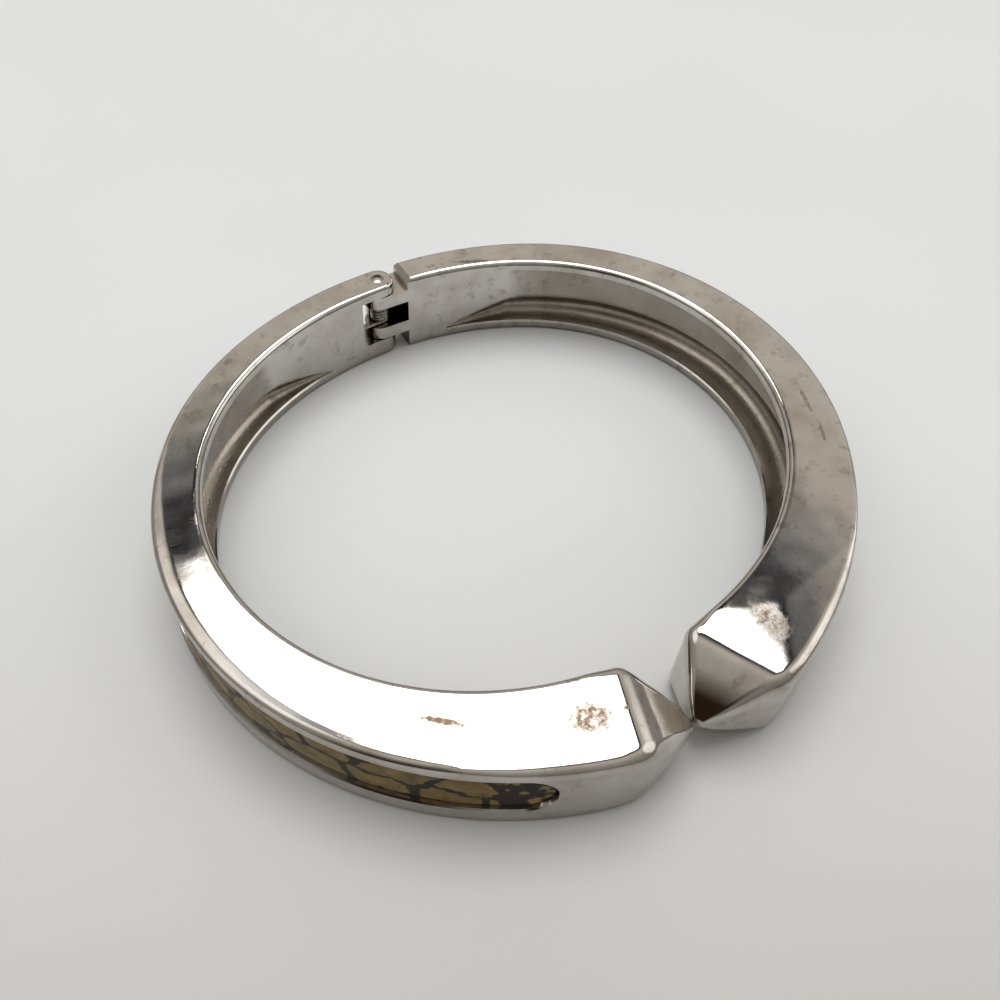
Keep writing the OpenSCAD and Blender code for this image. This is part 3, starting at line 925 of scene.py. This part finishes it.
# %% Floor
def floor_inputs(tree):
    where = node(tree, "TexCoord", out="Object")
    drift = node(tree, "TexNoise", {0: where, "Scale": per_mm(60.0), "Detail": 2.0})
    share = node(tree, "MapRange", {0: drift, 1: 0.3, 2: 0.7})
    floor_colour = node(tree, "Mix", {0: share, 6: "#cbcdce", 7: "#c7c9c9"}, 2, data_type="RGBA")
    # Painted shade: the floor darkens towards the front, standing in for light that falls off there.
    along = node(tree, "VectorMath", {0: where, 1: (0.45, 0.89, 0.0)}, "Value", operation="DOT_PRODUCT")
    painted_falloff = node(tree, "MapRange", {0: along, 1: 15 * MM, 2: -80 * MM}, interpolation_type="SMOOTHSTEP")
    floor_colour = node(tree, "Mix", {0: painted_falloff, 6: floor_colour, 7: "#aaa8a5"}, 2, data_type="RGBA")
    grain = node(tree, "TexNoise", {0: where, "Scale": per_mm(0.8), "Detail": 4.0})
    height = node(tree, "Math", {0: grain, 1: 0.02}, operation="MULTIPLY")
    bump = node(tree, "Bump", {"Height": height, "Strength": 0.3, "Distance": 1 * MM})
    return {"Base Color": floor_colour, "Roughness": 0.75, "Specular IOR Level": 0.2, "Normal": bump}


def make_floor():
    mesh = bmesh.new()
    bmesh.ops.create_grid(mesh, x_segments=2, y_segments=2, size=600)
    board = finish_mesh("floor", mesh)
    board.data.materials.append(new_material("painted_board", floor_inputs))


make_floor()


# %% Sky
def direction(turn, rise):
    """Unit direction from its turn from +Y towards +X and its rise, in degrees."""
    t, r = math.radians(turn), math.radians(rise)
    return (math.cos(r) * math.sin(t), math.cos(r) * math.cos(t), math.sin(r))


LAMP_WAY, VIEWER_WAY = direction(28, 74), direction(-125, 26)
# Turn, rise, cosines at the soft edge and inside it, and strength of each window
WINDOWS = ((-58, 50, 0.90, 0.95, 0.9), (110, 32, 0.91, 0.96, 1.2))


def make_sky():
    world = bpy.data.worlds.new("studio")
    bpy.context.scene.world = world
    world.use_nodes = True
    tree = world.node_tree
    tree.nodes.clear()
    way = node(tree, "TexCoord", out="Generated")
    lamp = node(tree, "VectorMath", {0: way, 1: LAMP_WAY}, "Value", operation="DOT_PRODUCT")
    room = node(tree, "ValToRGB", {"Fac": lamp}, stops=[
        (0.0, "#8f8d8a"), (1.0, "#101114"), (0.5, "#b2aea8"), (0.70, "#d2cdc5"), (0.80, "#e4ded4"),
        (0.864, "#d8d1c7"), (0.884, "#a3a2a0"), (0.900, "#76787a"), (0.911, "#1c1e22"),
    ])
    viewer = node(tree, "VectorMath", {0: way, 1: VIEWER_WAY}, "Value", operation="DOT_PRODUCT")
    dark = node(tree, "MapRange", {0: viewer, 1: 0.93, 2: 0.985})
    room = node(tree, "Mix", {0: dark, 6: room, 7: "#32261c"}, 2, data_type="RGBA")
    glow = node(tree, "MapRange", {0: lamp, 1: 0.928, 2: 0.934, 3: 0.0, 4: 5.2})
    for turn, rise, low, high, power in WINDOWS:
        facing = {0: way, 1: direction(turn, rise)}
        toward = node(tree, "VectorMath", facing, "Value", operation="DOT_PRODUCT")
        pane = node(tree, "MapRange", {0: toward, 1: low, 2: high, 3: 0.0, 4: power})
        glow = node(tree, "Math", {0: glow, 1: pane}, operation="ADD")
    walls = node(tree, "Background", {"Color": room, "Strength": 1.0})
    lights = node(tree, "Background", {"Color": "#ffffff", "Strength": glow})
    both = node(tree, "AddShader", {0: walls, 1: lights})
    node(tree, "OutputWorld", {"Surface": both})


make_sky()
bpy.context.scene.view_settings.view_transform = "Standard"

# %% [markdown]
# ## The joint
# Each piece but the spring rides on the body it belongs to and takes the place of its plain CAD solid.
# The pin is pressed into the left arm. The spring has one leg in each arm; it is set in place where it
# stands, and its CAD solid is hidden.

# %% Fix each piece to its body
for piece, cad_node, body, slot in (
    (left_arm, "left_arm", "left_half", "plated_alloy"),
    (right_arm, "right_arm", "right_half", "plated_alloy"),
    (left_strip, "left_inlay", "left_half", "patterned_strip"),
    (right_strip, "right_inlay", "right_half", "patterned_strip"),
    (pin, "hinge_pin", "left_half", "pin_steel"),
):
    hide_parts(cad_node)
    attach(piece, body)
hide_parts("hinge_spring")
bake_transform(spring)
